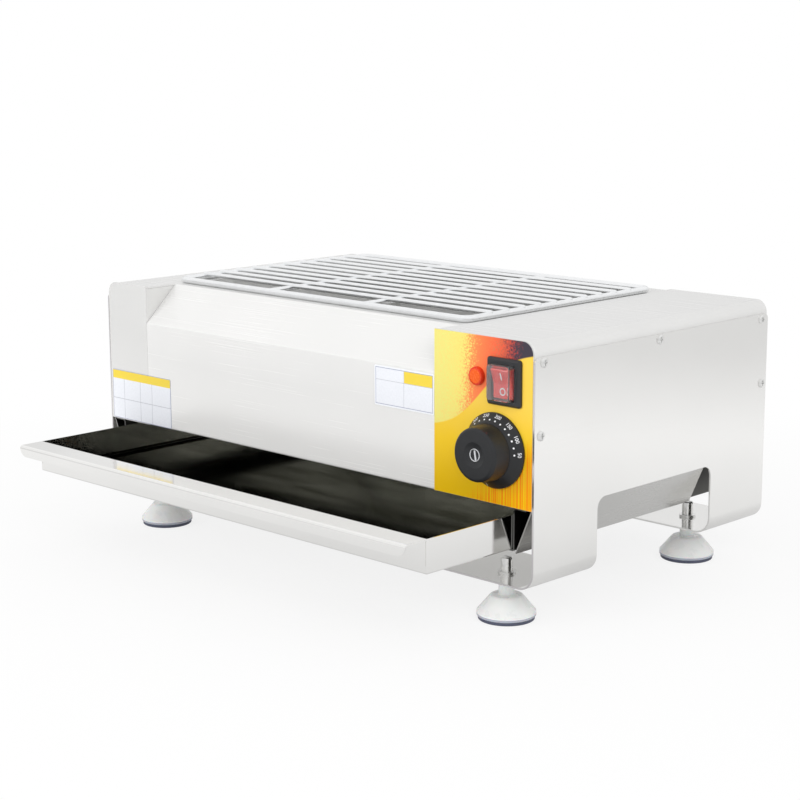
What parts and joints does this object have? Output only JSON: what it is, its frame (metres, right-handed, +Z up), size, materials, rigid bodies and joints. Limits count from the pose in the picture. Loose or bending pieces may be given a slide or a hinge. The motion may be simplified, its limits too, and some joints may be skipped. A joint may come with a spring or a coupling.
{
  "type": "electric tabletop grill",
  "caption": "Stainless electric tabletop grill with a wire grate over a firebox, a pull-out drip tray, a control panel with dial, switch and lamp, and levelling feet.",
  "frame": {"origin": "middle of the floor area the grill takes up with its tray at rest, on the floor", "axes": "+Z up, -Y towards the front where the tray and controls are, +X towards the control box"},
  "size_m": [0.5438, 0.4584, 0.243],
  "materials": {
    "sheet_steel": "bright satin stainless sheet",
    "reflector_steel": "polished stainless sheet",
    "grate_wire": "polished welded steel wire",
    "element_steel": "dull dark grey steel tube",
    "fastener_steel": "zinc plated steel",
    "stud_steel": "plated steel thread",
    "foot_plastic": "pale moulded plastic",
    "foot_rubber": "dark rubber",
    "panel_film": "printed film, golden yellow",
    "black_plastic": "charcoal plastic",
    "red_plastic": "red translucent plastic",
    "clear_plastic": "clear soft plastic",
    "lamp_plastic": "orange red translucent plastic",
    "lamp_barrel": "dark plastic",
    "brass_contacts": "bright brass",
    "ceramic": "glazed ceramic",
    "thermostat_metal": "plated sheet",
    "copper_tube": "copper"
  },
  "bodies": {
    "body": {"left_end_cover": "sheet_steel", "right_end_cover": "sheet_steel", "middle_shell": "sheet_steel", "left_front_plate": "sheet_steel", "control_plate": "sheet_steel", "rear_panel": "sheet_steel", "side_plate_left": "sheet_steel", "side_plate_right": "sheet_steel", "side_screws_left": "fastener_steel", "side_screws_right": "fastener_steel", "firebox_left_wall": "sheet_steel", "firebox_right_wall": "sheet_steel", "firebox_front_wall": "sheet_steel", "firebox_rear_wall": "sheet_steel", "reflector_front": "reflector_steel", "reflector_rear": "reflector_steel", "left_box_floor": "sheet_steel", "control_box_floor": "sheet_steel", "heating_element_front": "element_steel", "heating_element_rear": "element_steel", "element_bushes": "fastener_steel", "element_supports": "fastener_steel", "tray_rail_left": "sheet_steel", "tray_rail_right": "sheet_steel", "tray_skirt_left": "sheet_steel", "tray_skirt_right": "sheet_steel", "control_overlay": "panel_film", "thermostat_body": "thermostat_metal", "thermostat_screws": "fastener_steel", "thermostat_sensor": "copper_tube", "switch_housing": "black_plastic", "switch_cover": "clear_plastic", "switch_blades": "brass_contacts", "lamp_lens": "lamp_plastic", "lamp_body": "lamp_barrel", "cable_gland": "black_plastic", "gland_locknut": "fastener_steel", "terminal_block": "ceramic", "earth_stud": "fastener_steel", "wiring": "black_plastic", "foot_nuts": "fastener_steel"},
    "tray": {"drip_tray": "sheet_steel"},
    "grate": {"grate": "grate_wire"},
    "dial": {"dial_skirt": "black_plastic", "thermostat_knob": "black_plastic", "thermostat_shaft": "thermostat_metal"},
    "rocker": {"switch_rocker": "red_plastic"},
    "foot_front_left": {"foot_stud_front_left": "stud_steel", "foot_base_front_left": "foot_plastic", "foot_pad_front_left": "foot_rubber"},
    "foot_front_right": {"foot_stud_front_right": "stud_steel", "foot_base_front_right": "foot_plastic", "foot_pad_front_right": "foot_rubber"},
    "foot_rear_left": {"foot_stud_rear_left": "stud_steel", "foot_base_rear_left": "foot_plastic", "foot_pad_rear_left": "foot_rubber"},
    "foot_rear_right": {"foot_stud_rear_right": "stud_steel", "foot_base_rear_right": "foot_plastic", "foot_pad_rear_right": "foot_rubber"}
  },
  "joints": [
    {"name": "tray_slide", "type": "slide", "parent": "body", "child": "tray", "axis": [0, -1, 0], "range_m": [-0.1, 0.17]},
    {"name": "grate_lift", "type": "slide", "parent": "body", "child": "grate", "axis": [0, 0, 1], "range_m": [0, 0.08]},
    {"name": "dial_turn", "type": "hinge", "parent": "body", "child": "dial", "pos_m": [0.2305, -0.10675, 0.147], "axis": [0, 1, 0], "range_deg": [0, 230]},
    {"name": "rocker_tilt", "type": "hinge", "parent": "body", "child": "rocker", "pos_m": [0.2402, -0.10425, 0.2032], "axis": [1, 0, 0], "range_deg": [-20, 0]},
    {"name": "foot_front_left_height", "type": "slide", "parent": "body", "child": "foot_front_left", "axis": [0, 0, -1], "range_m": [-0.0002, 0.008]},
    {"name": "foot_front_right_height", "type": "slide", "parent": "body", "child": "foot_front_right", "axis": [0, 0, -1], "range_m": [-0.0002, 0.008]},
    {"name": "foot_rear_left_height", "type": "slide", "parent": "body", "child": "foot_rear_left", "axis": [0, 0, -1], "range_m": [-0.0002, 0.008]},
    {"name": "foot_rear_right_height", "type": "slide", "parent": "body", "child": "foot_rear_right", "axis": [0, 0, -1], "range_m": [-0.0002, 0.008]}
  ]
}
